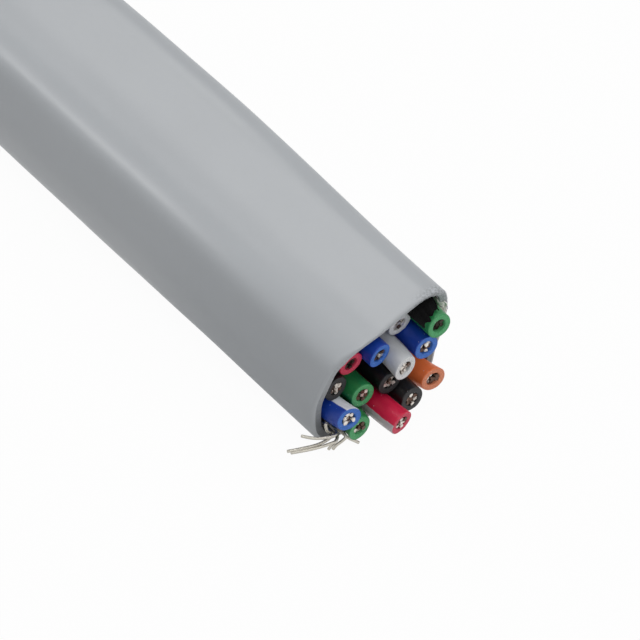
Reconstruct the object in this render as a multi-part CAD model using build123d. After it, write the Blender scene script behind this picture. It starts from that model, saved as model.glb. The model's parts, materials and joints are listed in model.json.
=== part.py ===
from build123d import *
import math
import os

# Cut length of a shielded multiconductor cable, in millimetres.
# X runs along the cable towards the cut end with the bare wires, Z is up,
# and the origin is on the jacket's flat underside at mid length.

# Driving dimensions
CABLE_LENGTH = 60.0
STRAND_DIAMETER = 0.254
STRAND_CLEARANCE = 0.004
INSULATION_WALL = 0.31
LAY_CLEARANCE = 0.01
FOIL_THICKNESS = 0.05
FOIL_SETBACK = 0.3
JACKET_WALL = 0.6
LONGEST_WIRE_END = 2.2
DRAIN_REACH = 2.6
DRAIN_BEND_RADIUS = 0.4
CUT_OVERRUN = 1.0

# Sizes that follow: seven strands fill a bore, and one wire and its clearance are the pitch of the lay
STRANDS_IN_RING = 6
STRAND_SIDES = 8
STRAND_RADIUS = STRAND_DIAMETER / 2
STRAND_PITCH = STRAND_DIAMETER + STRAND_CLEARANCE
BORE_RADIUS = STRAND_PITCH + STRAND_RADIUS + STRAND_CLEARANCE
WIRE_RADIUS = BORE_RADIUS + INSULATION_WALL
LAY_PITCH = 2 * WIRE_RADIUS + LAY_CLEARANCE
FAR_END = -CABLE_LENGTH / 2
CUT_END = CABLE_LENGTH / 2

# The jacket's inner outline as across and up shares of the lay pitch, from the middle of its floor,
# with the radius share of each corner. The third corner pinches the right side, and the sixth is
# the shallow dent on top.
OUTLINE_SHARES = [
    (-2.75, 0),
    (2.2, 0),
    (2.26, 1.05),
    (2.8, 2.35),
    (2.8, 4.15),
    (0.05, 3.5),
    (-1.95, 3.5),
    (-2.75, 2.1),
]
OUTLINE_RADIUS_SHARES = [1.05, 0.55, 2.0, 1.2, 0.35, 5.8, 0.45, 1.0]

# Each wire's place as across and up shares of the lay pitch, measured like the outline
PLACE_SHARES = {
    "white_upper": (1.18, 3.21),
    "white_middle": (0.625, 2.33),
    "blue_right": (1.7, 2.32),
    "blue_middle": (-0.17, 2.96),
    "blue_striped": (-2.16, 1.3),
    "green_right": (2.262, 3.15),
    "green_middle": (-1.04, 1.52),
    "green_lower": (-1.43, 0.55),
    "orange": (1.69, 0.56),
    "orange_inner": (1.21, 1.44),
    "black_middle": (0.11, 1.46),
    "black_right": (0.69, 0.575),
    "black_left": (-1.98, 2.31),
    "red_upper": (-1.19, 2.95),
    "red_striped": (-0.375, 0.55),
}

# How far each wire stands out of the cut jacket, as a share of the longest end
WIRE_END_SHARES = {
    "white_upper": -0.2,
    "white_middle": 0.5,
    "blue_right": 0.36,
    "blue_middle": 0.11,
    "blue_striped": 0.43,
    "green_right": 0.38,
    "green_middle": 0.17,
    "green_lower": 0.44,
    "orange": 0.48,
    "orange_inner": -0.45,
    "black_middle": 0.27,
    "black_right": 0.62,
    "black_left": -0.05,
    "red_upper": -0.13,
    "red_striped": 1.0,
}

# How each wire's cut face leans: degrees turned to the left and degrees tipped upwards
FACE_LEAN_DEGREES = {
    "white_upper": (2, -4),
    "white_middle": (-3, 3),
    "blue_right": (6, 5),
    "blue_middle": (-4, -2),
    "blue_striped": (9, 7),
    "green_right": (4, 8),
    "green_middle": (5, 5),
    "green_lower": (-2, 4),
    "orange": (8, 6),
    "orange_inner": (0, 0),
    "black_middle": (3, 2),
    "black_right": (2, 6),
    "black_left": (-3, 2),
    "red_upper": (2, -3),
    "red_striped": (-5, -4),
}

# The drain's strands lie against the lower left corner: degrees round that corner, and their row
# from the foil
DRAIN_LAY_DEGREES = [199, 205.5, 212, 225, 238, 244.5, 251]
DRAIN_ROW_COUNTS = [0, 1, 0, 0, 0, 1, 0]

# Where each frayed strand turns, as a share of the reach past the cut, and where its tip lies from
# that turn: forward, across and up shares of the reach
DRAIN_TURN_SHARES = [0.16, 0.31, 0.21, 0.33, 0.17, 0.33, 0.19]
DRAIN_TIP_SHARES = [
    (-0.02, -0.15, 0.23),
    (-0.25, -0.75, 0.31),
    (-0.17, -1.03, 0.17),
    (-0.213, -1.06, 0.18),
    (-0.04, -0.23, -0.3),
    (-0.1, -0.29, -0.23),
    (0.19, 0.22, -0.26),
]


def lay_point(shares):
    """Across and up from the origin for a place given in shares of the lay pitch."""
    across, up = shares
    return across * LAY_PITCH, JACKET_WALL + up * LAY_PITCH


def core_outline():
    """The jacket's inner outline: a rounded outline, flat below and dented along the top."""
    corners = [lay_point(shares) for shares in OUTLINE_SHARES]
    radii = [share * LAY_PITCH for share in OUTLINE_RADIUS_SHARES]
    return make_face(FilletPolyline(*corners, radius=radii, close=True))


def strand_section():
    """A thin strand's section, drawn with flat sides."""
    return RegularPolygon(radius=STRAND_RADIUS, side_count=STRAND_SIDES)


def along_cable(section, start, end):
    """A section in the YZ plane drawn out along the cable."""
    return extrude(Plane.YZ.offset(start) * section, amount=end - start)


def face_plane(name):
    """The plane of a wire's cut face."""
    across, up = lay_point(PLACE_SHARES[name])
    turned, tipped = FACE_LEAN_DEGREES[name]
    normal = Vector(1, 0, 0).rotate(Axis.Y, -tipped).rotate(Axis.Z, -turned)
    reach = CUT_END + WIRE_END_SHARES[name] * LONGEST_WIRE_END
    return Plane(origin=(reach, across, up), z_dir=normal)


def cut_to_face(section, name):
    """A section of a wire drawn out past its cut face and trimmed to it."""
    across, up = lay_point(PLACE_SHARES[name])
    face = face_plane(name)
    bar = along_cable(Pos(across, up) * section, FAR_END, face.origin.X + CUT_OVERRUN)
    return split(bar, bisect_by=face, keep=Keep.BOTTOM)


def insulation(name):
    """One wire's insulation, a sleeve with a plain bore."""
    return cut_to_face(Circle(WIRE_RADIUS) - Circle(BORE_RADIUS), name)


def conductor(name):
    """One wire's seven strands: six round a middle one."""
    places = [Pos(0, 0), *PolarLocations(STRAND_PITCH, STRANDS_IN_RING)]
    return Compound([cut_to_face(place * strand_section(), name).solid() for place in places])


def drain_strand(degrees, row, turn_share, tip_shares):
    """One bare strand: straight along the jacket's lower left corner, then bent aside past the cut."""
    corner_radius = OUTLINE_RADIUS_SHARES[0] * LAY_PITCH
    corner_across, corner_up = lay_point(OUTLINE_SHARES[0])
    row_step = STRAND_PITCH * math.sin(math.radians(60))
    seat = corner_radius - FOIL_THICKNESS - STRAND_CLEARANCE - STRAND_RADIUS - row * row_step
    across = corner_across + corner_radius + seat * math.cos(math.radians(degrees))
    up = corner_up + corner_radius + seat * math.sin(math.radians(degrees))
    turn = Vector(CUT_END + turn_share * DRAIN_REACH, across, up)
    tip = turn + Vector(*tip_shares) * DRAIN_REACH
    path = FilletPolyline((FAR_END, across, up), turn, tip, radius=[DRAIN_BEND_RADIUS])
    section = Plane(origin=path @ 0, z_dir=path % 0) * strand_section()
    return sweep(section, path=path).solid()


def build():
    """Every piece of the cable by its node's name."""
    core = core_outline()
    bore = offset(core, amount=-FOIL_THICKNESS)
    strands = zip(DRAIN_LAY_DEGREES, DRAIN_ROW_COUNTS, DRAIN_TURN_SHARES, DRAIN_TIP_SHARES)
    nodes = {
        "jacket": along_cable(offset(core, amount=JACKET_WALL) - core, FAR_END, CUT_END),
        "foil_shield": along_cable(core - bore, FAR_END, CUT_END - FOIL_SETBACK),
        "drain_wire": Compound([drain_strand(*strand) for strand in strands]),
    }
    for name in PLACE_SHARES:
        nodes[name + "_insulation"] = insulation(name)
        nodes[name + "_conductor"] = conductor(name)
    return nodes


os.makedirs("parts", exist_ok=True)
for node, piece in build().items():
    export_step(piece, f"parts/{node}.step")
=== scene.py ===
import json
import math

import bmesh
import bpy
import numpy as np
from bpy.props import FloatProperty, FloatVectorProperty, IntProperty, PointerProperty
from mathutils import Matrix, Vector, noise

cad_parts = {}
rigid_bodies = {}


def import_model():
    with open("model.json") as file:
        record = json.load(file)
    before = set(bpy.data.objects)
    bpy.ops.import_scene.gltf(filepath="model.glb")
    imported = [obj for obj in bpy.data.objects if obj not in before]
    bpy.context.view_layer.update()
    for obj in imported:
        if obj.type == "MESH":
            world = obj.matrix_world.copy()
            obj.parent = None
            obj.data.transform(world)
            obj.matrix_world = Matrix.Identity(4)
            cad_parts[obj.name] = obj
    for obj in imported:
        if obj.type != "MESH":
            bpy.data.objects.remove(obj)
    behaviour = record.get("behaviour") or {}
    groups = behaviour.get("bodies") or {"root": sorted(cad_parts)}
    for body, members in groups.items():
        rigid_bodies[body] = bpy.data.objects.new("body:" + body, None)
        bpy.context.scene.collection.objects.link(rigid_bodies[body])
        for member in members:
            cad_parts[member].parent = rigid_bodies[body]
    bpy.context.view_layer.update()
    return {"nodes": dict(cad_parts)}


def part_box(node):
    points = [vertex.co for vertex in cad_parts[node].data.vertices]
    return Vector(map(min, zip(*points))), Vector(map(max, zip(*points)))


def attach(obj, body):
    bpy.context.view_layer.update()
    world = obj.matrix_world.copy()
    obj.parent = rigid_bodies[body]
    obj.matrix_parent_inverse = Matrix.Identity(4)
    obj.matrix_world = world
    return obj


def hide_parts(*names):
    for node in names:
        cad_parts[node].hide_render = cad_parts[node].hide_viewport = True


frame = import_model()

bl_info = {
    "name": "Shielded multiconductor cable",
    "version": (1, 0, 0),
    "blender": (4, 5, 0),
    "location": "View3D > Sidebar > Cable",
    "description": "Dresses a cut length of cable: jacket, foil, wires, strands and frayed drain",
    "category": "Object",
}

MM = 0.001
WIRES = [name[: -len("_insulation")] for name in sorted(frame["nodes"]) if name.endswith("_insulation")]

# The drain's seven strands in millimetres: where each lies in the jacket's lower left corner,
# how far along it turns, and the points it bends through to its tip.
DRAIN_STRANDS = [
    ((-3.62, 1.66), 30.42, [(30.5, -3.84, 1.86), (30.46, -3.98, 2.2), (30.4, -3.92, 2.56)]),
    ((-3.36, 1.62), 30.81, [(30.7, -4.1, 1.8), (30.45, -4.85, 2.1), (30.16, -5.31, 2.42)]),
    ((-3.49, 1.39), 30.55, [(30.55, -4.3, 1.36), (30.36, -5.2, 1.56), (30.1, -6.17, 1.83)]),
    ((-3.31, 1.16), 30.86, [(30.72, -4.25, 1.3), (30.44, -5.2, 1.44), (30.2, -6.02, 1.68)]),
    ((-3.08, 0.98), 30.44, [(30.5, -3.36, 0.7), (30.4, -3.56, 0.46), (30.34, -3.68, 0.2)]),
    ((-2.86, 1.11), 30.86, [(30.76, -3.16, 0.82), (30.64, -3.48, 0.62), (30.6, -3.61, 0.4)]),
    ((-2.82, 0.85), 30.49, [(30.66, -2.6, 0.5), (30.86, -2.4, 0.34), (30.99, -2.24, 0.18)]),
]

# How far the near ends of some wires are pushed aside, in millimetres.
SPLAY = {
    "orange": (0.0, 0.3, 0.0),
    "blue_striped": (0.0, 0.19, 0.08),
    "red_striped": (0.0, 0.09, 0.08),
    "white_middle": (0.0, -0.16, -0.04),
    "green_lower": (0.0, -0.14, -0.14),
    "green_right": (0.0, 0.0, -0.06),
}

# How far a core is pulled back into its insulation, in millimetres; its strands are painted dark as the
# shade in its hole.
PULLED_IN = {"green_right": 0.12, "red_upper": 0.03}


def span(low, high):
    """Two limits, given in millimetres."""
    return low * MM, high * MM


# Steps between the rings of a piece: the coarse one, the fine one by the cut, and the fine one's reach.
JACKET_STEPS = (1.0 * MM, 0.15 * MM, 1.8 * MM)
FOIL_STEPS = (3.0 * MM, 0.06 * MM, 0.72 * MM)
WIRE_STEPS = (8 * MM, 0.1 * MM, 2.6 * MM)

# The points of the jacket's outline and how often it is softened, and the sides of a round strand.
OUTLINE_POINTS = 300
OUTLINE_ROUNDS = 36
ROD_SIDES = 14

# The jacket's faint waves, as their length and width, and its flat underside and groove.
LONG_WAVE = (11 * MM, 2.6 * MM)
SHORT_WAVE = (4 * MM, 1.4 * MM)
SHORT_WAVE_START = Vector((7, 3, 5))
FLAT_BELOW = 0.3 * MM
GROOVE_UP = span(5.2, 5.9)
GROOVE_ACROSS = -1.45 * MM
GROOVE_WIDTH = 0.6 * MM

# Its upper right edge: where it lies, and how far it swells and is pressed in, in millimetres.
EDGE_ACROSS = span(3.0, 4.2)
EDGE_UP = span(3.6, 5.4)
EDGE_SWELL, EDGE_SWELL_ALONG = 0.2, span(-6, 12)
EDGE_PRESS, EDGE_PRESS_ALONG = 0.36, span(13, 27)

# Its cut end: the wall worn thin under the dent, and the torn upper right corner.
DENT_ACROSS = 0.6 * MM
DENT_HALF_WIDTH = 3.0 * MM
FLARE_UP = span(4.6, 5.6)
FLARE_REACH = 1.7 * MM
CORNER_ACROSS = span(2.0, 3.2)
CORNER_UP = span(4.0, 5.0)
WORN_REACH = 0.6 * MM
WORN_FULL = 0.1 * MM
STAND_REACH = 1.3 * MM
CUT_GRIT, CORNER_GRIT, WORN_GRIT = 0.22, 0.6, 0.8
FINE_GRIT = 0.16 * MM
COARSE_GRIT = 0.9 * MM

# Where its left side is rubbed dull, and over what height the painted shade on its cut face fades out,
# darkest at the bottom.
RUBBED_ALONG = span(14, 26)
RUBBED_ACROSS = span(-2.3, -0.9)
SHADE_FADE_UP = span(0.6, 6.4)

# The foil's wall under the jacket's, and its torn edge: bright foil curls over the right wall,
# and a film painted near black as shade lines its inside and hangs out at the upper right.
FOIL_CLEARANCE = 0.003 * MM
FOIL_INSIDE = 0.05 * MM
FOIL_RIM = 0.005 * MM
SHADE_FILM_SIDE = 0.02 * MM
TORN_REACH = 0.7 * MM
COARSE_TEAR = 0.35 * MM
FINE_TEAR = 0.12 * MM
FINE_TEAR_LAYER = 2 * MM
CRUMPLE = 0.3 * MM
CRUMPLE_DEPTH = 0.1 * MM
CURL_ACROSS = span(3.9, 4.2)
CURL_UP = span(3.0, 3.6)
CURL_TOP = span(5.4, 6.0)
SHADE_FILM_ACROSS = span(1.65, 2.0)
SHADE_FILM_UP = span(6.0, 6.4)
SHADE_FLAP_END = span(3.4, 4.0)
SAG_ACROSS = span(2.1, 2.9)

# The wires' ends: how far back their lean, torn skin and dragged strands reach, the grain of both,
# how dark the painted shade on the strands is behind their ends, and the seeds of their random values.
LEAN_REACH = 1.2 * MM
SLEEVE_TORN = 0.12 * MM
SLEEVE_GRAIN = 0.3 * MM
STRAND_DRAG = 0.45 * MM
STRAND_GRAIN = 0.12 * MM
STRAND_SHADE_BEHIND_TIP = 0.93
FIRST_SEED = 3
TONE_SEED = 40.0

# The dust: specks on a square metre, and how far inside the jacket's cut they begin.
SPECK_DENSITY = 1.2e6
SPECK_DEPTH = 0.2 * MM
SPECK_SEED = 8

# How far before its turn a drain strand begins to bend, in millimetres.
DRAIN_EASE = 1.2


def srgb(*parts):
    """A colour written as 0 to 255 on a screen, as linear light."""
    return tuple(((c / 255 + 0.055) / 1.055) ** 2.4 if c > 10 else c / 255 / 12.92 for c in parts)


def shade(colour, share):
    """A colour made darker or lighter, as a socket takes it."""
    return (*(min(1.0, share * part) for part in colour), 1.0)


class Field:
    """One socket's value, so that node maths is written as a Python expression."""

    def __init__(self, graph, socket):
        self.graph = graph
        self.socket = socket

    def other(self, name):
        """Another output of the same node."""
        return Field(self.graph, self.socket.node.outputs[name])

    def math(self, operation, *values):
        return self.graph.node("ShaderNodeMath", {"operation": operation}, dict(enumerate(values)))

    def __add__(self, value):
        return self.math("ADD", self, value)

    def __radd__(self, value):
        return self.math("ADD", value, self)

    def __sub__(self, value):
        return self.math("SUBTRACT", self, value)

    def __rsub__(self, value):
        return self.math("SUBTRACT", value, self)

    def __mul__(self, value):
        return self.math("MULTIPLY", self, value)

    def __rmul__(self, value):
        return self.math("MULTIPLY", value, self)

    def __truediv__(self, value):
        return self.math("DIVIDE", self, value)

    def __gt__(self, value):
        return self.math("GREATER_THAN", self, value)


class Graph:
    """A node tree that is filled one node at a time."""

    def __init__(self, tree):
        self.tree = tree

    def node(self, kind, settings=None, inputs=None, out=0):
        """A new node with its settings, then the values or links of its sockets."""
        made = self.tree.nodes.new(kind)
        for name, value in (settings or {}).items():
            setattr(made, name, value)
        for key, value in (inputs or {}).items():
            self.feed(made.inputs[key], value)
        return Field(self, made.outputs[out]) if made.outputs else made

    def feed(self, socket, value):
        """Links a field, or several, to a socket, or sets its value."""
        if isinstance(value, list):
            for one in value:
                self.feed(socket, one)
        elif isinstance(value, Field):
            self.tree.links.new(value.socket, socket)
        else:
            socket.default_value = value

    def split(self, vector):
        """A vector's X, Y and Z."""
        first = self.node("ShaderNodeSeparateXYZ", {}, {0: vector})
        return first, first.other("Y"), first.other("Z")

    def ramp(self, value, low):
        """A straight climb from 0 at low to 1 at zero."""
        return self.node("ShaderNodeMapRange", {}, {"Value": value, "From Min": low, "From Max": 0.0})

    def seen(self):
        """One on what the camera sees, straight, mirrored or through glass, and zero on other light."""
        path = self.node("ShaderNodeLightPath", out="Is Camera Ray")
        turned = path.math("MAXIMUM", path.other("Is Glossy Ray"), path.other("Is Transmission Ray"))
        return path.math("MAXIMUM", path, turned)


class Finish(Graph):
    """The nodes of one material."""

    def __init__(self, name):
        self.material = bpy.data.materials.new(name)
        self.material.use_nodes = True
        super().__init__(self.material.node_tree)
        self.tree.nodes.clear()
        self.place = self.node("ShaderNodeTexCoord", out="Object")

    def grain(self, size, detail=2.0, roughness=0.5):
        """Noise whose lumps are about that size, in metres."""
        values = {"Vector": self.place, "Scale": 1 / size, "Detail": detail, "Roughness": roughness}
        return self.node("ShaderNodeTexNoise", {}, values)

    def marked(self, name, out="Fac"):
        """An attribute of the piece."""
        return self.node("ShaderNodeAttribute", {"attribute_name": name}, out=out)

    def mix(self, factor, first, second):
        """A colour from first to second."""
        return self.node("ShaderNodeMix", {"data_type": "RGBA"}, {0: factor, 6: first, 7: second}, out=2)

    def ease(self, value, low, high):
        """A smooth step from 0 at low to 1 at high."""
        limits = {"Value": value, "From Min": low, "From Max": high}
        return self.node("ShaderNodeMapRange", {"interpolation_type": "SMOOTHSTEP"}, limits)

    def relief(self, height, depth):
        """Bumps of that depth, in metres."""
        return self.node("ShaderNodeBump", {}, {"Strength": 1.0, "Distance": depth, "Height": height})

    def done(self, sockets):
        """Ends the material in one surface shader."""
        shader = self.node("ShaderNodeBsdfPrincipled", {}, sockets)
        self.node("ShaderNodeOutputMaterial", {}, {"Surface": shader})
        return self.material


class Recipe(Graph):
    """A Geometry Nodes tree with named inputs, ending in realised geometry and its material."""

    def __init__(self, name, inputs):
        super().__init__(bpy.data.node_groups.new(name, "GeometryNodeTree"))
        for label, kind in inputs.items():
            self.tree.interface.new_socket(label, in_out="INPUT", socket_type="NodeSocket" + kind)
        self.tree.interface.new_socket("Geometry", in_out="OUTPUT", socket_type="NodeSocketGeometry")
        self.entry = self.tree.nodes.new("NodeGroupInput")

    def given(self, label):
        """One of the tree's inputs."""
        return Field(self, self.entry.outputs[label])

    def vector(self, x=0.0, y=0.0, z=0.0):
        """A vector from three values."""
        return self.node("ShaderNodeCombineXYZ", {}, {0: x, 1: y, 2: z})

    def chance(self, low, high, seed):
        """A random value for each element, the same on every run."""
        return self.node("FunctionNodeRandomValue", {}, {2: low, 3: high, "Seed": seed}, out=1)

    def add(self, first, second):
        """The sum of two vectors."""
        return self.node("ShaderNodeVectorMath", {"operation": "ADD"}, {0: first, 1: second})

    def scale(self, vector, share):
        """A vector made longer or shorter."""
        return self.node("ShaderNodeVectorMath", {"operation": "SCALE"}, {0: vector, "Scale": share})

    def store(self, geometry, name, value, **settings):
        """Keeps a value on the geometry under a name."""
        values = {"Geometry": geometry, "Name": name, "Value": value}
        return self.node("GeometryNodeStoreNamedAttribute", settings, values)

    def transform(self, geometry, **values):
        """Moves or turns the geometry."""
        return self.node("GeometryNodeTransform", {}, {"Geometry": geometry, **values})

    def base_lines(self):
        """The base mesh's edges as curves."""
        return self.node("GeometryNodeMeshToCurve", {}, {0: self.given("Geometry")})

    def rod(self, line, radius):
        """A round bar along a line, with closed ends."""
        circle = {"Resolution": ROD_SIDES, "Radius": radius}
        section = self.node("GeometryNodeCurvePrimitiveCircle", {}, circle)
        bar = {"Curve": line, "Profile Curve": section, "Fill Caps": True}
        return self.node("GeometryNodeCurveToMesh", {}, bar)

    def ends(self, geometry):
        """Realises the geometry and sets its material."""
        whole = self.node("GeometryNodeRealizeInstances", {}, {"Geometry": geometry})
        values = {"Geometry": whole, "Material": self.given("Material")}
        self.node("NodeGroupOutput", {}, {0: self.node("GeometryNodeSetMaterial", {}, values)})

    def grow(self, name, values, base):
        """A plain mesh object made by the tree from a base mesh and the given input values."""
        plan = bpy.data.objects.new(name + "_plan", base)
        modifier = plan.modifiers.new(name, "NODES")
        modifier.node_group = self.tree
        for item in self.tree.interface.items_tree:
            if item.in_out == "INPUT" and item.name in values:
                modifier[item.identifier] = values[item.name]
        return stand(name, baked(plan))


def baked(holder):
    """The mesh that an object shows, in place of the object."""
    bpy.context.scene.collection.objects.link(holder)
    shown = bpy.context.evaluated_depsgraph_get()
    mesh = bpy.data.meshes.new_from_object(holder.evaluated_get(shown), depsgraph=shown)
    bpy.data.objects.remove(holder)
    return mesh


def stand(name, mesh):
    """A mesh as an object of the scene, at the origin."""
    mesh.name = name
    piece = bpy.data.objects.new(name, mesh)
    bpy.context.scene.collection.objects.link(piece)
    return piece


def line_mesh(name, runs):
    """The lines of smooth open splines that have these control points."""
    curve = bpy.data.curves.new(name, "CURVE")
    curve.dimensions = "3D"
    curve.resolution_u = 24
    for points in runs:
        spline = curve.splines.new("NURBS")
        spline.points.add(len(points) - 1)
        for point, place in zip(spline.points, points):
            point.co = (*place, 1)
        spline.order_u = 3
        spline.use_endpoint_u = True
    return baked(bpy.data.objects.new(name, curve))


def cable_route():
    """Points along the cable's own line, read from its spline."""
    low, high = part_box("jacket")
    height = (low.z + high.z) / 2
    bow = bpy.context.scene.cable_sizes.bow
    controls = [(low.x, 0, height), (0, 2 * bow, height), (high.x, 0, height)]
    mesh = line_mesh("cable_route", [controls])
    return [vertex.co.copy() for vertex in mesh.vertices]


def bend_with_cable(mesh):
    """Moves a straight piece's points sideways with the cable's line."""
    line = np.array([tuple(point) for point in cable_route()])
    steps_past = 9
    first = line[0] - steps_past * (line[1] - line[0])
    last = line[-1] + steps_past * (line[-1] - line[-2])
    line = np.vstack([first, line, last])
    places = np.zeros(len(mesh.vertices) * 3)
    mesh.vertices.foreach_get("co", places)
    places = places.reshape(-1, 3)
    places[:, 1] += np.interp(places[:, 0], line[:, 0], line[:, 1])
    mesh.vertices.foreach_set("co", places.ravel())
    mesh.update()


def settle(piece, slot, *nodes):
    """Ties a finished piece to the frame in the place of its nodes."""
    bend_with_cable(piece.data)
    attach(piece, "root")
    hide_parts(*nodes)


def cut_outline():
    """The outer edge of the jacket's cut end as even, softened points and their outward directions.

    Both are (across, up), and run counterclockwise as seen from before the cut.
    """
    weld = 0.0001 * MM
    flat = 0.001 * MM
    shell = bmesh.new()
    shell.from_mesh(frame["nodes"]["jacket"].data)
    bmesh.ops.remove_doubles(shell, verts=shell.verts, dist=weld)
    end = max(vertex.co.x for vertex in shell.verts)
    cap = {face for face in shell.faces if min(vertex.co.x for vertex in face.verts) > end - flat}
    links = {}
    for edge in shell.edges:
        if sum(face in cap for face in edge.link_faces) == 1:
            one, two = edge.verts
            links.setdefault(one, []).append(two)
            links.setdefault(two, []).append(one)
    start = max(links, key=lambda vertex: vertex.co.y)
    loop = [start, links[start][0]]
    while loop[-1] is not start:
        loop.append(next(vertex for vertex in links[loop[-1]] if vertex is not loop[-2]))
    corners = np.array([(vertex.co.y, vertex.co.z) for vertex in loop])
    shell.free()
    turn = np.sum(corners[:-1, 0] * corners[1:, 1] - corners[1:, 0] * corners[:-1, 1])
    if turn < 0:
        corners = corners[::-1]
    reach = np.concatenate([[0], np.cumsum(np.linalg.norm(np.diff(corners, axis=0), axis=1))])
    marks = np.linspace(0, reach[-1], OUTLINE_POINTS, endpoint=False)
    points = np.stack([np.interp(marks, reach, corners[:, axis]) for axis in (0, 1)], axis=1)
    for _ in range(OUTLINE_ROUNDS):
        points = (np.roll(points, 1, axis=0) + 2 * points + np.roll(points, -1, axis=0)) / 4
    ahead = np.roll(points, -1, axis=0) - np.roll(points, 1, axis=0)
    ahead /= np.linalg.norm(ahead, axis=1, keepdims=True)
    return points, np.stack([ahead[:, 1], -ahead[:, 0]], axis=1)


def stations(start, end, coarse, fine, reach):
    """Places along a piece, a coarse step apart and a fine one apart over its last reach."""
    far = np.linspace(start, end - reach, max(2, round((end - reach - start) / coarse)))
    near = np.linspace(end - reach, end, round(reach / fine) + 1)
    return [float(place) for place in np.concatenate([far, near[1:]])]


def quarter_turn(steps):
    """The angles of a quarter circle in even steps."""
    return [math.radians(90 / steps * step) for step in range(steps + 1)]


def wall_rings(places, outer, inner, rim, lip):
    """Rings round a tube's wall as (along, inward, on a cut): skin, cut and its rims, bore, far cut."""
    start, end = places[0], places[-1]
    quarter = quarter_turn(6)
    near_out = [(end - rim + rim * math.sin(a), outer + rim - rim * math.cos(a), 0) for a in quarter]
    near_in = [(end - lip + lip * math.cos(a), inner - lip + lip * math.sin(a), 1) for a in quarter]
    faces = np.linspace(outer + rim, inner - lip, 7)[1:-1]
    cut = near_out + [(end, inward, 1) for inward in faces] + near_in
    far = [(start + end - along, inward, mark) for along, inward, mark in reversed(cut)]
    inside = [place for place in places if start + 1.01 * rim < place < end - 1.01 * rim]
    skin = [(along, outer, 0) for along in inside]
    bore = [(along, inner, 0) for along in reversed(inside)]
    return skin + cut + bore + far


def ease(value, low, high):
    """A smooth step from 0 at low to 1 at high."""
    share = min(1.0, max(0.0, (value - low) / (high - low)))
    return share * share * (3 - 2 * share)


def lumps(size, *place):
    """Smooth noise at a place, in lumps of about that size."""
    return noise.noise(Vector(place) / size)


def right_edge(along):
    """How far the jacket's upper right edge is pressed out, or near the cut in, along its length."""
    swollen = ease(along, *EDGE_SWELL_ALONG)
    pressed = ease(along, *EDGE_PRESS_ALONG)
    return (EDGE_SWELL * swollen - EDGE_PRESS * pressed) * MM


def lip_flare(along, across, up, end, depth):
    """How far the jacket's wall is worn thin from inside, under the dent at the cut end."""
    beside = max(0.0, 1 - ((across - DENT_ACROSS) / DENT_HALF_WIDTH) ** 4)
    return depth * ease(along, end - FLARE_REACH, end) * beside * ease(up, *FLARE_UP)


def tube(name, rings, shift):
    """A closed wall of rings round the jacket's outline.

    For each point, shift gives its offset along and outwards, and its mark.
    """
    points, outward = cut_outline()
    count = len(points)
    places = []
    marks = []
    for along, inward, mark in rings:
        for (across, up), (right, above) in zip(points, outward):
            ahead, out, tone = shift(along, inward, mark, across, up)
            places.append((along + ahead, across + right * (out - inward), up + above * (out - inward)))
            marks.append(tone)
    faces = []
    for ring in range(len(rings)):
        after = (ring + 1) % len(rings)
        for side in range(count):
            beside = (side + 1) % count
            here, there = ring * count, after * count
            faces.append((here + side, here + beside, there + beside, there + side))
    mesh = bpy.data.meshes.new(name)
    mesh.from_pydata(places, [], faces)
    # On the foil, the mark kept as cut is the share painted near black as shade; on the jacket it is the
    # grit of the cut.
    mesh.attributes.new("cut", "FLOAT", "POINT").data.foreach_set("value", marks)
    mesh.polygons.foreach_set("use_smooth", [True] * len(mesh.polygons))
    return stand(name, mesh)


def loop_mesh(name, points, closed):
    """A line through points as a mesh of edges."""
    count = len(points)
    edges = [(i, (i + 1) % count) for i in range(count if closed else count - 1)]
    mesh = bpy.data.meshes.new(name)
    mesh.from_pydata(points, edges, [])
    return mesh


def sleeve_section(length, wall, rim):
    """The closed outline of a sleeve's wall: outwards by back from the near face, with rounded rims."""
    half = wall / 2
    quarter = quarter_turn(3)
    sides = [length - place for place in stations(0, length, *WIRE_STEPS)]
    sides = sorted(place for place in sides if 1.2 * rim < place < length - 1.2 * rim)
    corners = [(half - rim + rim * math.cos(a), length - rim + rim * math.sin(a), 0) for a in quarter]
    corners += [(rim - half - rim * math.sin(a), length - rim + rim * math.cos(a), 0) for a in quarter]
    ends = [(rim - half - rim * math.cos(a), rim - rim * math.sin(a), 0) for a in quarter]
    ends += [(half - rim + rim * math.sin(a), rim - rim * math.cos(a), 0) for a in quarter]
    outside = [(half, place, 0) for place in sides]
    inside = [(-half, place, 0) for place in reversed(sides)]
    return loop_mesh("sleeve_section", outside + corners + inside + ends, True)


def jacket_finish(colours):
    """Satin grey jacket: faint mottling, a fine orange-peel skin, a torn grain on the cut, and painted
    shade darkening the cut face towards its bottom.
    """
    finish = Finish("jacket_satin_grey")
    cut = finish.marked("cut")
    cloud = finish.grain(5 * MM, 3)
    mottle = finish.grain(0.35 * MM, 3)
    torn = finish.grain(0.13 * MM, 3, 0.7)
    base = colours.jacket
    skin = finish.mix(0.6 * cloud + 0.4 * mottle, shade(base, 0.95), shade(base, 1.05))
    chewed = finish.mix(finish.ease(torn, 0.35, 0.68), shade(base, 0.5), shade(base, 1.4))
    along, across, up = finish.split(finish.place)
    rubbed = finish.ease(along, *RUBBED_ALONG) * (1 - finish.ease(across, *RUBBED_ACROSS))
    # Painted shade: the cut face goes nearly black towards its bottom, where the wires shade it.
    cut_face_shade = finish.ease(cut, 0.02, 0.2) * (1 - finish.ease(up, *SHADE_FADE_UP))
    colour = finish.mix(0.88 * cut_face_shade, finish.mix(cut, skin, chewed), shade(base, 0.12))
    height = (1 - cut) * (0.5 * finish.grain(0.12 * MM, 2) + 0.5 * mottle) * 0.3 + cut * torn * 4
    return finish.done({
        "Base Color": colour,
        "Roughness": 0.37 + 0.08 * mottle + 0.2 * cut + 0.3 * rubbed,
        "Specular IOR Level": 0.8,
        "Normal": finish.relief(height, 0.012 * MM),
    })


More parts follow.
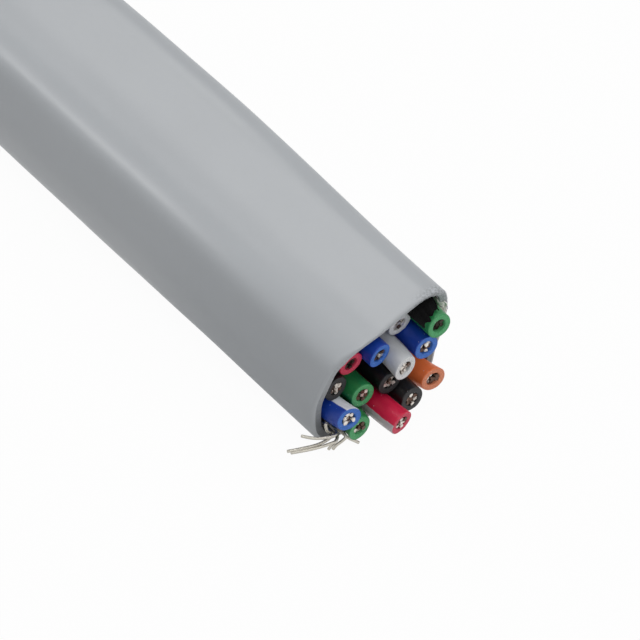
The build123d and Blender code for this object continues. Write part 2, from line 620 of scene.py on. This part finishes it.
def foil_finish(colours):
    """Aluminium foil backed by a film painted near black as shade, crumpled along its torn edge."""
    finish = Finish("foil_bright_film")
    film = finish.marked("cut")
    crease = finish.grain(0.16 * MM, 3, 0.6)
    return finish.done({
        "Base Color": finish.mix(film, shade(colours.foil, 1), shade(colours.film, 1)),
        "Metallic": 0.75 * (1 - film),
        "Roughness": 0.36 + 0.2 * crease + 0.32 * film,
        "Specular IOR Level": 0.1,
        "Normal": finish.relief(crease, 0.12 * MM),
    })


def insulation_finish(name, side, face, stripe=None, stripe_at=0.0, stripe_width=0.0):
    """Coloured insulation: satin side, a cut face paler partly for its rough cut and partly as painted
    light, and, on some, a stripe along the skin.
    """
    finish = Finish(name + "_insulation")
    _, across, up = finish.split(finish.marked("section", "Vector"))
    reach = across.math("SQRT", across * across + up * up)
    cut = 1 - finish.ease(reach, 0.93, 0.985)
    cloud = finish.grain(0.5 * MM, 3)
    torn = finish.grain(0.07 * MM, 3, 0.65)
    skin = finish.mix(cloud, shade(side, 0.86), shade(side, 1.12))
    if stripe:
        facing = (across * math.cos(stripe_at) + up * math.sin(stripe_at)) / reach
        edge = math.cos(stripe_width)
        band = finish.ease(facing + 0.08 * (cloud - 0.5), edge - 0.02, edge + 0.02)
        skin = finish.mix(band, skin, shade(stripe, 1))
    worn = finish.mix(finish.ease(torn, 0.3, 0.72), shade(face, 0.78), shade(face, 1.18))
    height = cut * torn * 3 + (1 - cut) * finish.grain(0.15 * MM, 2) * 0.6
    return finish.done({
        "Base Color": finish.mix(cut, skin, worn),
        "Roughness": 0.34 + 0.08 * cloud + 0.22 * cut,
        "Normal": finish.relief(height, 0.01 * MM),
    })


def strand_finish(name, tin, copper, shade_behind_tip):
    """Tinned copper strand: bright where cut, copper where the tin is smeared off, and painted shade
    making it dark behind its end.
    """
    finish = Finish(name)
    smear = finish.grain(0.07 * MM, 3, 0.65)
    fine = finish.grain(0.04 * MM, 2)
    bare = finish.ease(finish.marked("tone") + 1.1 * (smear - 0.5), 0.36, 0.66)
    # Painted shade: behind its cut end a strand's colour goes towards near black, as the shade in the
    # gaps between strands.
    behind = finish.ease(finish.marked("tip"), 0.02, 0.16)
    metal = finish.mix(bare, shade(tin, 1), shade(copper, 1))
    return finish.done({
        "Base Color": finish.mix(shade_behind_tip * behind, metal, (0.01, 0.008, 0.007, 1)),
        "Metallic": 1.0,
        "Roughness": 0.2 + 0.3 * fine,
        "Normal": finish.relief(smear + 0.5 * fine, 0.03 * MM),
    })


def scuff_finish():
    """Specks of pale plastic dust left by the cut."""
    finish = Finish("scuff_dust")
    tone = finish.grain(0.05 * MM, 2)
    colour = finish.mix(tone, (0.45, 0.46, 0.48, 1), (0.9, 0.9, 0.9, 1))
    return finish.done({"Base Color": colour, "Roughness": 0.55 + 0.2 * tone})


def smoothed(recipe, geometry, degrees):
    """Smooth shading with creases at the folds sharper than that."""
    geometry = recipe.node("GeometryNodeSetShadeSmooth", {}, {"Geometry": geometry})
    fold = recipe.node("GeometryNodeInputMeshEdgeAngle") > math.radians(degrees)
    return recipe.store(geometry, "sharp_edge", fold, data_type="BOOLEAN", domain="EDGE")


def end_grain(recipe, place, size, out=0):
    """Noise that differs from wire to wire, in lumps of that size."""
    moved = recipe.add(place, recipe.given("Near face"))
    grain = {"Vector": moved, "Scale": 1 / size, "Detail": 2.0}
    return recipe.node("ShaderNodeTexNoise", {}, grain, out=out)


def placed(recipe, geometry, place, push, degrees):
    """Ends a wire's recipe: its points are pushed, leaned and splayed, and then put in place."""
    along, across, up = recipe.split(place)
    _, lean_across, lean_up = recipe.split(recipe.given("Lean"))
    lean = recipe.ramp(along, -LEAN_REACH) * (across * lean_across + up * lean_up)
    share = recipe.ramp(along, -1.0 * recipe.given("Splay length"))
    push = recipe.add(push, recipe.vector(lean))
    push = recipe.add(push, recipe.scale(recipe.given("Splay"), share * share))
    geometry = recipe.node("GeometryNodeSetPosition", {}, {"Geometry": geometry, "Offset": push})
    geometry = recipe.transform(geometry, Translation=recipe.given("Near face"))
    recipe.ends(smoothed(recipe, geometry, degrees))
    return recipe


def sleeve_recipe():
    """Insulation sleeve: a wall section carried round a circle, splayed, with its near face leaning."""
    recipe = Recipe("insulation_sleeve", {
        "Geometry": "Geometry", "Wire radius": "Float", "Wall": "Float", "Sides": "Int",
        "Near face": "Vector", "Lean": "Vector", "Ragged": "Float", "Splay": "Vector",
        "Splay length": "Float", "Material": "Material",
    })
    section = recipe.base_lines()
    middle = recipe.given("Wire radius") - recipe.given("Wall") / 2
    circle = {"Resolution": recipe.given("Sides"), "Radius": middle}
    ring = recipe.node("GeometryNodeCurvePrimitiveCircle", {}, circle)
    ring = recipe.node("GeometryNodeSetCurveNormal", {"mode": "Z_UP"}, {"Curve": ring})
    wall = recipe.node("GeometryNodeCurveToMesh", {}, {"Curve": ring, "Profile Curve": section})
    wall = recipe.transform(wall, Rotation=(0, math.pi / 2, 0))
    place = recipe.node("GeometryNodeInputPosition")
    along, across, up = recipe.split(place)
    radius = recipe.given("Wire radius")
    section = recipe.vector(0.0, across / radius, up / radius)
    wall = recipe.store(wall, "section", section, data_type="FLOAT_VECTOR")
    rough = end_grain(recipe, place, SLEEVE_GRAIN) - 0.5
    torn = recipe.ramp(along, -SLEEVE_TORN) * rough * recipe.given("Ragged")
    return placed(recipe, wall, place, recipe.vector(torn), degrees=26)


def strands_recipe():
    """Seven strands, six round a middle one, splayed with their wire and with ragged near ends."""
    recipe = Recipe("conductor_strands", {
        "Geometry": "Geometry", "Length": "Float", "Strand radius": "Float", "Pitch": "Float",
        "Near face": "Vector", "Lean": "Vector", "Ragged": "Float", "Chewed": "Float",
        "Splay": "Vector", "Splay length": "Float", "Seed": "Int", "Material": "Material",
    })
    ring = recipe.node("GeometryNodeMeshCircle", {}, {"Vertices": 6, "Radius": recipe.given("Pitch")})
    ring = recipe.node("GeometryNodeMeshToPoints", {}, {"Mesh": ring})
    middle = recipe.node("GeometryNodePoints", {}, {"Count": 1})
    seats = recipe.node("GeometryNodeJoinGeometry", {}, {0: [ring, middle]})
    line = recipe.base_lines()
    strand = recipe.rod(line, recipe.given("Strand radius"))
    place = recipe.node("GeometryNodeInputPosition")
    behind = recipe.split(place)[2] / (-1 * MM)
    inward = behind.math("MINIMUM", behind, recipe.given("Length") / MM - behind)
    strand = recipe.store(strand, "tip", inward)
    strands = recipe.node("GeometryNodeInstanceOnPoints", {}, {"Points": seats, "Instance": strand})
    ragged, seed = recipe.given("Ragged"), recipe.given("Seed")
    slide = recipe.chance(-1.0 * ragged, 0.2 * ragged, seed)
    strands = recipe.node("GeometryNodeTranslateInstances", {}, {
        "Instances": strands, "Translation": recipe.vector(0.0, 0.0, slide),
    })
    tone = recipe.chance(0.0, 1.0, seed + TONE_SEED)
    strands = recipe.store(strands, "tone", tone, domain="INSTANCE")
    strands = recipe.node("GeometryNodeRealizeInstances", {}, {"Geometry": strands})
    strands = recipe.transform(strands, Rotation=(0, math.pi / 2, 0))
    along = recipe.split(place)[0]
    rough = recipe.add(end_grain(recipe, place, STRAND_GRAIN, out=1), (-0.5, -0.5, -0.5))
    drag = recipe.scale(rough, recipe.ramp(along, -STRAND_DRAG) * recipe.given("Chewed"))
    return placed(recipe, strands, place, drag, degrees=40)


def drain_recipe():
    """Bare strands carried along their lines."""
    inputs = {"Geometry": "Geometry", "Strand radius": "Float", "Material": "Material"}
    recipe = Recipe("drain_fray", inputs)
    lines = recipe.base_lines()
    wires = recipe.rod(lines, recipe.given("Strand radius"))
    recipe.ends(smoothed(recipe, wires, degrees=40))
    return recipe


def scuff_recipe():
    """Small specks scattered over the wire ends."""
    recipe = Recipe("scuff_specks", {
        "Geometry": "Geometry", "Behind": "Float", "Density": "Float", "Speck radius": "Float",
        "Seed": "Int", "Material": "Material",
    })
    along = recipe.split(recipe.node("GeometryNodeInputPosition"))[0]
    seed = recipe.given("Seed")
    spread = {"Mesh": recipe.given("Geometry"), "Density": recipe.given("Density"), "Seed": seed}
    seats = recipe.node("GeometryNodeDistributePointsOnFaces", {}, spread)
    ball = {"Radius": recipe.given("Speck radius"), "Subdivisions": 1}
    speck = recipe.node("GeometryNodeMeshIcoSphere", {}, ball)
    wide = recipe.chance(0.4, 1.6, seed)
    long = recipe.chance(0.4, 2.2, seed + 5.0)
    specks = recipe.node("GeometryNodeInstanceOnPoints", {}, {
        "Points": seats, "Selection": along > recipe.given("Behind"), "Instance": speck,
        "Rotation": seats.other("Rotation"), "Scale": recipe.vector(wide, long, 0.6),
    })
    recipe.ends(specks)
    return recipe


def wire_facts(name):
    """A wire's near face centre, lean, length, radius and bore, measured from its insulation node."""
    mesh = frame["nodes"][name + "_insulation"].data
    places = np.array([tuple(vertex.co) for vertex in mesh.vertices])
    low, high = places.min(0), places.max(0)
    middle = (low + high) / 2
    near = places[places[:, 0] > 0]
    table = np.column_stack([near[:, 1] - middle[1], near[:, 2] - middle[2], np.ones(len(near))])
    lean_across, lean_up, face = np.linalg.lstsq(table, near[:, 0], rcond=None)[0]
    reach = np.hypot(places[:, 1] - middle[1], places[:, 2] - middle[2])
    return {
        "Near face": (float(face), float(middle[1]), float(middle[2])),
        "Lean": (0.0, float(lean_across), float(lean_up)),
        "Length": float(face - low[0]),
        "Wire radius": float(reach.max()),
        "Bore radius": float(reach.min()),
        "Splay": tuple(value * MM for value in SPLAY.get(name, (0.0, 0.0, 0.0))),
        "Splay length": bpy.context.scene.cable_sizes.splay_length,
    }


def length_setting(name, description, millimetres):
    """A size that a user may change, given in millimetres."""
    return FloatProperty(name=name, description=description, default=millimetres * MM, unit="LENGTH")


def colour_setting(name, description, *parts):
    """A colour that a user may change, given as 0 to 255 on a screen."""
    return FloatVectorProperty(name=name, description=description, default=srgb(*parts), subtype="COLOR")


def power_setting(name, description, watts):
    """A lamp's power that a user may change."""
    return FloatProperty(name=name, description=description, default=watts, unit="POWER")


class CableSizes(bpy.types.PropertyGroup):
    bow: length_setting("Bow", "How far the middle of the length bulges sideways", 0.08)
    swell: length_setting("Swell", "Height of the faint waves along the jacket", 0.035)
    lip_grain: length_setting("Lip grain", "Roughness of the jacket's cut face", 0.05)
    lip_round: length_setting("Lip rounding", "Rounding of the jacket's outer cut edge", 0.18)
    lip_inside: length_setting("Lip inside", "Rounding of the jacket's inner cut edge", 0.06)
    lip_flare: length_setting("Lip flare", "How much thinner the wall is under the dent", 0.36)
    lip_stand: length_setting("Lip stand", "How far the skin stands out at the upper right corner", 0.2)
    groove: length_setting("Groove", "Depth of the faint groove along the top", 0.05)
    splay_length: length_setting("Splay length", "Length over which a wire end is pushed aside", 2.0)
    foil_tear: length_setting("Foil tear", "Depth of the foil's ragged edge", 0.25)
    # The film flap is a near-black sheet of painted shade at the cut's upper right.
    shade_flap_reach: length_setting("Flap reach", "How far the torn film hangs out of the cut", 0.98)
    curl_reach: length_setting("Curl reach", "How far the bright foil stands out at the right wall", 0.5)
    curl_turn: length_setting("Curl turn", "How far the bright foil turns out over the right lip", 0.3)
    shade_flap_drop: length_setting("Flap drop", "How far the torn film sags", 0.5)
    wire_rim: length_setting("Wire rim", "Rounding of each wire's cut edges", 0.035)
    wire_tear: length_setting("Wire tear", "Roughness of each wire's cut face", 0.05)
    wire_sides: IntProperty(name="Wire sides", description="Sides of each insulation sleeve",
                            default=64, min=16)
    strand_radius: length_setting("Strand radius", "Radius of one bare strand", 0.115)
    drain_radius: length_setting("Drain strand radius", "Radius of one frayed drain strand", 0.082)
    strand_pitch: length_setting("Strand pitch", "Middle of one strand to the next", 0.258)
    strand_slip: length_setting("Strand slip", "How unevenly the strands end", 0.15)
    strand_chew: length_setting("Strand chew", "How far the cutter dragged the strand ends", 0.18)
    speck_radius: length_setting("Speck radius", "Size of the dust specks on the wire ends", 0.014)


class CableColours(bpy.types.PropertyGroup):
    jacket: colour_setting("Jacket", "Jacket skin", 176, 180, 184)
    foil: colour_setting("Foil", "Aluminium side of the shield", 236, 232, 228)
    # Painted shade: the film colour is near black, so the film stands in for the shade inside the cut
    # end.
    film: colour_setting("Film", "Film side of the shield", 7, 7, 8)
    tin: colour_setting("Tin", "Tinned strands", 232, 226, 218)
    bare_tin: colour_setting("Bare tin", "Frayed drain strands", 186, 182, 172)
    copper: colour_setting("Copper", "Bare copper in the cut", 100, 78, 68)
    white: colour_setting("White", "White insulation", 206, 208, 211)
    blue: colour_setting("Blue", "Blue insulation", 20, 66, 172)
    green: colour_setting("Green", "Green insulation", 42, 138, 78)
    orange: colour_setting("Orange", "Orange insulation", 252, 122, 64)
    black: colour_setting("Black", "Black insulation", 14, 14, 16)
    red: colour_setting("Red", "Red insulation", 224, 28, 72)
    stripe: colour_setting("Stripe", "Pale stripe on the blue wire", 232, 236, 244)


class CableStage(bpy.types.PropertyGroup):
    azimuth: FloatProperty(name="Azimuth", description="Camera's turn round the cable",
                           default=math.radians(49.6), subtype="ANGLE")
    elevation: FloatProperty(name="Elevation", description="Camera's height above the floor",
                             default=math.radians(50), subtype="ANGLE")
    lens: FloatProperty(name="Lens", description="Focal length in millimetres", default=250)
    view_width: length_setting("View width", "Width of the picture at the cable", 32.2)
    aim: FloatVectorProperty(name="Aim", description="Point at the middle of the picture",
                             subtype="XYZ", unit="LENGTH",
                             default=(26.285 * MM, -0.8 * MM, 4.406 * MM))
    back_power: power_setting("Back power", "Power of the soft lamp behind", 2.0)
    right_power: power_setting("Right power", "Power of the soft lamp on the right", 2.3)
    front_power: power_setting("Front power", "Power of the soft lamp before the cut end", 1.5)
    sky: FloatProperty(name="Sky", description="Strength of the even light all round", default=0.22)


class CABLE_OT_jacket(bpy.types.Operator):
    """Make the pressed grey jacket along the cable's line"""
    bl_idname = "cable.jacket"
    bl_label = "Jacket"

    def execute(self, context):
        sizes = context.scene.cable_sizes
        low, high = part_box("jacket")
        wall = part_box("foil_shield")[0].y - low.y
        flare = sizes.lip_flare

        def shift(along, inward, mark, across, up):
            length, width = LONG_WAVE
            wave = noise.noise(Vector((along / length, across / width, up / width)))
            length, width = SHORT_WAVE
            start = Vector((along / length, across / width, up / width)) + SHORT_WAVE_START
            swell = (wave + 0.5 * noise.noise(start)) * sizes.swell
            if up < FLAT_BELOW:
                swell = min(0.0, swell)
            groove = math.exp(-((across - GROOVE_ACROSS) / GROOVE_WIDTH) ** 2)
            swell -= ease(up, *GROOVE_UP) * sizes.groove * groove
            swell += right_edge(along) * ease(across, *EDGE_ACROSS) * ease(up, *EDGE_UP)
            ragged = lumps(FINE_GRIT, along, across, up) + lumps(COARSE_GRIT, along, across, up)
            corner = ease(across, *CORNER_ACROSS) * ease(up, *CORNER_UP)
            skin = max(0.0, 1 - inward / wall)
            worn = corner * skin * ease(along, high.x - WORN_REACH, high.x - WORN_FULL)
            grit = max(mark * (CUT_GRIT + CORNER_GRIT * corner), WORN_GRIT * worn)
            out = swell * skin + lip_flare(along, across, up, high.x, flare) * (1 - skin)
            pulled = corner * skin * ease(along, high.x - STAND_REACH, high.x) * sizes.lip_stand
            return grit * ragged * sizes.lip_grain + pulled, out, grit

        places = stations(low.x, high.x, *JACKET_STEPS)
        rings = wall_rings(places, 0, wall, sizes.lip_round, sizes.lip_inside)
        piece = tube("jacket_skin", rings, shift)
        piece.data.materials.append(jacket_finish(context.scene.cable_colours))
        settle(piece, "jacket", "jacket")
        route = cable_route()
        return {"FINISHED"}


class CABLE_OT_foil(bpy.types.Operator):
    """Make the foil shield with its torn edge"""
    bl_idname = "cable.foil"
    bl_label = "Foil shield"

    def execute(self, context):
        sizes = context.scene.cable_sizes
        low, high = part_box("foil_shield")
        gap = low.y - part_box("jacket")[0].y
        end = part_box("jacket")[1].x
        flare = sizes.lip_flare

        def shift(along, inward, mark, across, up):
            near = max(0.0, (along - high.x) / TORN_REACH + 1)
            tear = lumps(COARSE_TEAR, across, up, 0)
            tear += 0.6 * lumps(FINE_TEAR, across, up, FINE_TEAR_LAYER)
            curl = ease(across, *CURL_ACROSS) * ease(up, *CURL_UP) * (1 - ease(up, *CURL_TOP))
            # Painted shade: a near-black film flap hangs over the upper right of the cut, and the foil's
            # inside is near black, standing in for the shade there.
            shade_film_band = ease(across, *SHADE_FILM_ACROSS) * ease(up, *SHADE_FILM_UP)
            shade_flap = shade_film_band * (1 - ease(across, *SHADE_FLAP_END))
            sag = sizes.shade_flap_drop * (1.6 - 0.6 * ease(across, *SAG_ACROSS))
            torn = tear * (1 + 0.5 * shade_flap) * sizes.foil_tear
            ahead = near * (torn + shade_flap * sizes.shade_flap_reach + curl * sizes.curl_reach)
            out = ease(near, 0.75, 1.0) * curl * sizes.curl_turn - near * near * shade_flap * sag
            out -= near * abs(lumps(CRUMPLE, along, across, up)) * CRUMPLE_DEPTH
            film = max(ease(shade_film_band, 0.0, 0.1), float(inward > gap + SHADE_FILM_SIDE)) * (1 - curl)
            return ahead, out + lip_flare(along, across, up, end, flare), film

        places = stations(low.x, high.x, *FOIL_STEPS)
        rings = wall_rings(places, gap + FOIL_CLEARANCE, gap + FOIL_INSIDE, FOIL_RIM, FOIL_RIM)
        piece = tube("foil_wrap", rings, shift)
        piece.data.materials.append(foil_finish(context.scene.cable_colours))
        settle(piece, "foil", "foil_shield")
        return {"FINISHED"}


class CABLE_OT_insulation(bpy.types.Operator):
    """Make the fifteen coloured insulation sleeves"""
    bl_idname = "cable.insulation"
    bl_label = "Insulation"

    def execute(self, context):
        sizes = context.scene.cable_sizes
        colours = context.scene.cable_colours
        recipe = sleeve_recipe()
        # The cut faces are paler than the sides, partly for the rough cut and partly as painted light
        # lifting faces that the lamps reach less.
        faces = {
            "white": srgb(238, 239, 241), "blue": srgb(64, 120, 212), "green": srgb(84, 174, 112),
            "orange": srgb(246, 150, 112), "black": srgb(29, 29, 31), "red": srgb(218, 62, 92),
        }
        finishes = {}
        for hue, face in faces.items():
            finishes[hue] = insulation_finish(hue, tuple(getattr(colours, hue)), face)
        finishes["blue_striped"] = insulation_finish(
            "blue_striped", tuple(colours.blue), faces["blue"], stripe=tuple(colours.stripe),
            stripe_at=math.radians(64), stripe_width=math.radians(32))
        finishes["red_striped"] = insulation_finish(
            "red_striped", tuple(colours.red), faces["red"], stripe=srgb(196, 184, 188),
            stripe_at=math.radians(190), stripe_width=math.radians(38))
        for name in WIRES:
            hue = name.split("_")[0]
            facts = wire_facts(name)
            facts["Wall"] = facts["Wire radius"] - facts["Bore radius"]
            facts["Sides"] = sizes.wire_sides
            facts["Ragged"] = sizes.wire_tear
            facts["Material"] = finishes.get(name, finishes[hue])
            section = sleeve_section(facts["Length"], facts["Wall"], sizes.wire_rim)
            piece = recipe.grow(name + "_sleeve", facts, section)
            settle(piece, "insulation_" + hue, name + "_insulation")
        return {"FINISHED"}


class CABLE_OT_conductors(bpy.types.Operator):
    """Make the seven tinned strands in each wire"""
    bl_idname = "cable.conductors"
    bl_label = "Conductors"

    def execute(self, context):
        sizes = context.scene.cable_sizes
        recipe = strands_recipe()
        colours = context.scene.cable_colours
        tin, copper = tuple(colours.tin), tuple(colours.copper)
        material = strand_finish("strand_cut_copper", tin, copper, STRAND_SHADE_BEHIND_TIP)
        # Painted shade: these cores' strands get dark colours for the shade inside their holes.
        shaded_core = strand_finish("strand_stained", srgb(74, 66, 60), srgb(38, 30, 26), STRAND_SHADE_BEHIND_TIP)
        for seed, name in enumerate(WIRES):
            facts = wire_facts(name)
            facts["Strand radius"] = sizes.strand_radius
            facts["Pitch"] = sizes.strand_pitch
            facts["Ragged"] = sizes.strand_slip
            facts["Chewed"] = sizes.strand_chew
            facts["Seed"] = seed + FIRST_SEED
            facts["Material"] = shaded_core if name in PULLED_IN else material
            pull = PULLED_IN.get(name, 0.0) * MM
            facts["Near face"] = tuple(Vector(facts["Near face"]) - Vector((pull, 0, 0)))
            facts["Length"] -= pull + sizes.strand_slip
            length = facts["Length"]
            line = [(0, 0, place - length) for place in stations(0, length, *WIRE_STEPS)]
            piece = recipe.grow(name + "_strands", facts, loop_mesh("strand_line", line, False))
            settle(piece, "tinned_strand", name + "_conductor")
        return {"FINISHED"}


class CABLE_OT_drain(bpy.types.Operator):
    """Make the bare drain strands and their frayed ends"""
    bl_idname = "cable.drain"
    bl_label = "Drain"

    def execute(self, context):
        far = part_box("drain_wire")[0].x
        runs = []
        for (across, up), turn, tips in DRAIN_STRANDS:
            stops = (far, (turn - DRAIN_EASE) * MM, turn * MM)
            seat = [(along, across * MM, up * MM) for along in stops]
            runs.append(seat + [tuple(value * MM for value in tip) for tip in tips])
        recipe = drain_recipe()
        colours = context.scene.cable_colours
        tin, copper = tuple(colours.bare_tin), tuple(colours.copper)
        material = strand_finish("strand_bright_tin", tin, copper, shade_behind_tip=0.0)
        facts = {"Strand radius": context.scene.cable_sizes.drain_radius, "Material": material}
        piece = recipe.grow("drain_fray", facts, line_mesh("drain_lines", runs))
        settle(piece, "tinned_strand", "drain_wire")
        return {"FINISHED"}


class CABLE_OT_scuffs(bpy.types.Operator):
    """Scatter the dust of the cut over the wire ends"""
    bl_idname = "cable.scuffs"
    bl_label = "Scuff specks"

    def execute(self, context):
        whole = bmesh.new()
        for name in WIRES:
            whole.from_mesh(bpy.data.objects[name + "_sleeve"].data)
        base = bpy.data.meshes.new("wire_ends")
        whole.to_mesh(base)
        whole.free()
        facts = {
            "Behind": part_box("jacket")[1].x - SPECK_DEPTH, "Density": SPECK_DENSITY,
            "Seed": SPECK_SEED, "Material": scuff_finish(),
            "Speck radius": context.scene.cable_sizes.speck_radius,
        }
        piece = scuff_recipe().grow("scuff_specks", facts, base)
        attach(piece, "root")
        return {"FINISHED"}


class CABLE_OT_stage(bpy.types.Operator):
    """Set the pale floor, the soft light and the camera"""
    bl_idname = "cable.stage"
    bl_label = "Stage"

    def execute(self, context):
        scene = context.scene
        stage = scene.cable_stage
        scene.view_settings.view_transform = "Standard"
        mesh = bpy.data.meshes.new("floor")
        half = 2
        corners = [(-half, -half, 0), (half, -half, 0), (half, half, 0), (-half, half, 0)]
        mesh.from_pydata(corners, [], [(0, 1, 2, 3)])
        floor = stand("floor", mesh)
        finish = Finish("floor_white")
        seen = finish.seen()
        matt = finish.node("ShaderNodeBsdfDiffuse", {}, {"Color": (0.9, 0.9, 0.9, 1)})
        glow = finish.node("ShaderNodeEmission", {}, {"Color": (1, 1, 1, 1), "Strength": 1.0})
        both = finish.node("ShaderNodeMixShader", {}, {0: 0.96 * seen, 1: matt, 2: glow})
        finish.node("ShaderNodeOutputMaterial", {}, {"Surface": both})
        floor.data.materials.append(finish.material)

        world = bpy.data.worlds.new("studio")
        scene.world = world
        world.use_nodes = True
        world.node_tree.nodes.clear()
        sky = Graph(world.node_tree)
        seen = sky.seen()
        even = sky.node("ShaderNodeBackground", {}, {"Color": (1, 1, 1, 1), "Strength": stage.sky})
        white = sky.node("ShaderNodeBackground", {}, {"Color": (1, 1, 1, 1), "Strength": 1.0})
        both = sky.node("ShaderNodeMixShader", {}, {0: seen, 1: even, 2: white})
        sky.node("ShaderNodeOutputWorld", {}, {"Surface": both})

        # Each lamp's place from the aim and its width, in metres, and its power.
        aim = Vector(stage.aim)
        lamps = [
            ("back_box", (-0.42, 0.0, 0.8), 0.36, stage.back_power),
            ("right_box", (0.1, 0.5, 0.74), 0.5, stage.right_power),
            ("front_box", (0.66, -0.16, 0.6), 0.5, stage.front_power),
        ]
        for name, place, size, power in lamps:
            lamp = bpy.data.lights.new(name, "AREA")
            lamp.energy = power
            lamp.size = size
            box = bpy.data.objects.new(name, lamp)
            box.location = aim + Vector(place)
            box.rotation_euler = Vector(place).to_track_quat("Z", "Y").to_euler()
            scene.collection.objects.link(box)

        level = math.cos(stage.elevation)
        east, north = math.sin(stage.azimuth) * level, -math.cos(stage.azimuth) * level
        towards = Vector((east, north, math.sin(stage.elevation)))
        data = bpy.data.cameras.new("camera")
        data.lens = stage.lens
        data.sensor_width = 36
        data.clip_start = 5 * MM
        camera = bpy.data.objects.new("camera", data)
        camera.location = aim + towards * (stage.view_width * stage.lens / data.sensor_width)
        camera.rotation_euler = towards.to_track_quat("Z", "Y").to_euler()
        scene.collection.objects.link(camera)
        scene.camera = camera
        return {"FINISHED"}


OPERATORS = [
    CABLE_OT_stage, CABLE_OT_jacket, CABLE_OT_foil, CABLE_OT_insulation, CABLE_OT_conductors,
    CABLE_OT_drain, CABLE_OT_scuffs,
]


class CABLE_PT_panel(bpy.types.Panel):
    bl_idname = "CABLE_PT_panel"
    bl_label = "Multiconductor cable"
    bl_space_type = "VIEW_3D"
    bl_region_type = "UI"
    bl_category = "Cable"

    def draw(self, context):
        for group in (context.scene.cable_sizes, context.scene.cable_colours, context.scene.cable_stage):
            box = self.layout.box()
            for name in group.__annotations__:
                box.prop(group, name)
        for operator in OPERATORS:
            self.layout.operator(operator.bl_idname)


CLASSES = [CableSizes, CableColours, CableStage, *OPERATORS, CABLE_PT_panel]


def register():
    for item in CLASSES:
        bpy.utils.register_class(item)
    bpy.types.Scene.cable_sizes = PointerProperty(type=CableSizes)
    bpy.types.Scene.cable_colours = PointerProperty(type=CableColours)
    bpy.types.Scene.cable_stage = PointerProperty(type=CableStage)


def unregister():
    del bpy.types.Scene.cable_stage
    del bpy.types.Scene.cable_colours
    del bpy.types.Scene.cable_sizes
    for item in reversed(CLASSES):
        bpy.utils.unregister_class(item)


def main():
    register()
    bpy.ops.cable.stage()
    bpy.ops.cable.jacket()
    bpy.ops.cable.foil()
    bpy.ops.cable.insulation()
    bpy.ops.cable.conductors()
    bpy.ops.cable.drain()
    bpy.ops.cable.scuffs()


if __name__ == "__main__":
    main()
